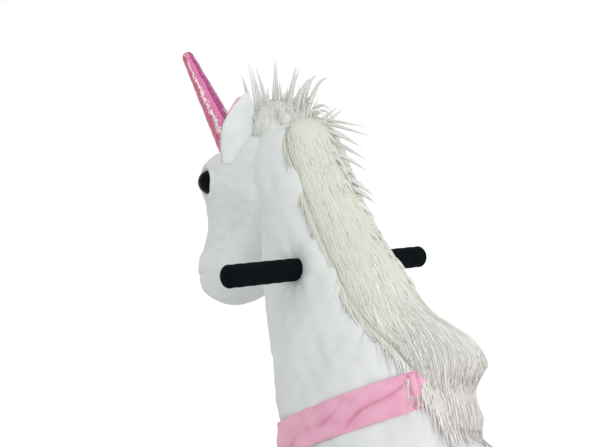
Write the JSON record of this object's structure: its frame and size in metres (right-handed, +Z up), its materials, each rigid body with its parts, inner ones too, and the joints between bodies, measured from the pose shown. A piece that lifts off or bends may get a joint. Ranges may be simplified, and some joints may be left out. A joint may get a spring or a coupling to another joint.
{
  "type": "plush ride on animal",
  "caption": "White plush horned ride-on animal with a pink saddle band, steered by handles through its neck, that walks on wheeled swinging legs.",
  "frame": {"origin": "on the floor, at the centre of the bounding box's underside", "axes": "+Z up from the floor towards the horn; +X to the animal's left along the handlebar; the animal faces -Y"},
  "size_m": [0.344, 0.9028, 0.9749],
  "materials": {
    "white_plush": "short white plush pile",
    "long_fur": "long ivory fur",
    "pink_satin": "soft pink satin cloth",
    "pink_film": "shiny pink film cloth",
    "black_rubber": "matte black rubber",
    "black_eye": "glossy black",
    "painted_steel": "black powder coat",
    "zinc_steel": "zinc plated",
    "grey_nylon": "moulded grey nylon",
    "hoof_plastic": "moulded satin plastic",
    "birch_ply": "plain plywood"
  },
  "bodies": {
    "chassis": {"body_frame": "painted_steel", "seat_board": "birch_ply", "body_plush": "white_plush", "saddle_seat": "pink_satin", "saddle_cloth": "pink_satin", "breast_band": "pink_satin", "mane_lower": "long_fur", "tail": "long_fur", "front_pivot_screw_left": "zinc_steel", "front_pivot_screw_right": "zinc_steel", "rear_pivot_bolt": "zinc_steel", "head_tube_liner": "grey_nylon", "stop_buffer_front": "black_rubber", "stop_buffer_rear": "black_rubber", "front_spring": "zinc_steel", "rear_spring": "zinc_steel"},
    "steering": {"steering_column": "painted_steel", "handlebar_tube": "zinc_steel", "grip_left": "black_rubber", "grip_right": "black_rubber", "head_bracket": "painted_steel", "neck_plush": "white_plush", "head_plush": "white_plush", "mane_upper": "long_fur", "forelock": "long_fur", "horn": "pink_film", "ear_left": "white_plush", "ear_right": "white_plush", "eye_left": "black_eye", "eye_right": "black_eye"},
    "front_legs": {"front_leg_frame": "painted_steel", "shaft_bush": "grey_nylon", "front_leg_plush_left": "white_plush", "front_leg_plush_right": "white_plush", "footrest_left": "black_rubber", "footrest_right": "black_rubber"},
    "rear_legs": {"rear_leg_frame": "painted_steel", "rear_leg_plush_left": "white_plush", "rear_leg_plush_right": "white_plush", "hoof_rear_left": "hoof_plastic", "hoof_rear_right": "hoof_plastic", "rear_axle_left": "zinc_steel", "rear_axle_right": "zinc_steel"},
    "lower_shaft": {"steering_shaft": "zinc_steel"},
    "tie_rod": {"tie_rod": "zinc_steel"},
    "fork_left": {"front_fork_left": "zinc_steel", "hoof_front_left": "hoof_plastic", "front_axle_left": "zinc_steel"},
    "fork_right": {"front_fork_right": "zinc_steel", "hoof_front_right": "hoof_plastic", "front_axle_right": "zinc_steel"},
    "wheel_front_left": {"tyre_front_left": "black_rubber", "hub_front_left": "grey_nylon"},
    "wheel_front_right": {"tyre_front_right": "black_rubber", "hub_front_right": "grey_nylon"},
    "wheel_rear_left": {"tyre_rear_left": "black_rubber", "hub_rear_left": "grey_nylon"},
    "wheel_rear_right": {"tyre_rear_right": "black_rubber", "hub_rear_right": "grey_nylon"}
  },
  "joints": [
    {"name": "steer", "type": "hinge", "parent": "chassis", "child": "steering", "pos_m": [0, -0.0985, 0.68], "axis": [0, 0, 1], "range_deg": [-22, 22]},
    {"name": "front_swing", "type": "hinge", "parent": "chassis", "child": "front_legs", "pos_m": [0, -0.0985, 0.4], "axis": [-1, 0, 0], "range_deg": [0, 10], "stiffness_Nm_per_rad": 40, "springref_deg": -8.59, "deforming": ["front_spring"]},
    {"name": "rear_swing", "type": "hinge", "parent": "chassis", "child": "rear_legs", "pos_m": [0, 0.2865, 0.4], "axis": [1, 0, 0], "range_deg": [0, 10], "stiffness_Nm_per_rad": 40, "springref_deg": -8.59, "deforming": ["rear_spring"]},
    {"name": "shaft_turn", "type": "hinge", "parent": "front_legs", "child": "lower_shaft", "pos_m": [0, -0.0985, 0.17], "axis": [0, 0, 1], "range_deg": [-22, 22]},
    {"name": "tie_rod_pin", "type": "hinge", "parent": "lower_shaft", "child": "tie_rod", "pos_m": [0, -0.0485, 0.1123], "axis": [0, 0, 1], "range_deg": [-22, 22]},
    {"name": "kingpin_left", "type": "hinge", "parent": "front_legs", "child": "fork_left", "pos_m": [0.08, -0.0985, 0.1123], "axis": [0, 0, 1], "range_deg": [-22, 22]},
    {"name": "kingpin_right", "type": "hinge", "parent": "front_legs", "child": "fork_right", "pos_m": [-0.08, -0.0985, 0.1123], "axis": [0, 0, 1], "range_deg": [-22, 22]},
    {"name": "roll_front_left", "type": "hinge", "parent": "fork_left", "child": "wheel_front_left", "pos_m": [0.08, -0.0985, 0.0375], "axis": [1, 0, 0], "continuous": true},
    {"name": "roll_front_right", "type": "hinge", "parent": "fork_right", "child": "wheel_front_right", "pos_m": [-0.08, -0.0985, 0.0375], "axis": [1, 0, 0], "continuous": true},
    {"name": "roll_rear_left", "type": "hinge", "parent": "rear_legs", "child": "wheel_rear_left", "pos_m": [0.08, 0.2865, 0.0375], "axis": [1, 0, 0], "continuous": true},
    {"name": "roll_rear_right", "type": "hinge", "parent": "rear_legs", "child": "wheel_rear_right", "pos_m": [-0.08, 0.2865, 0.0375], "axis": [1, 0, 0], "continuous": true}
  ],
  "couplings": [
    {"joint": "shaft_turn", "follows": "steer", "ratio": 1},
    {"joint": "tie_rod_pin", "follows": "steer", "ratio": -1},
    {"joint": "kingpin_left", "follows": "steer", "ratio": 1},
    {"joint": "kingpin_right", "follows": "steer", "ratio": 1}
  ]
}
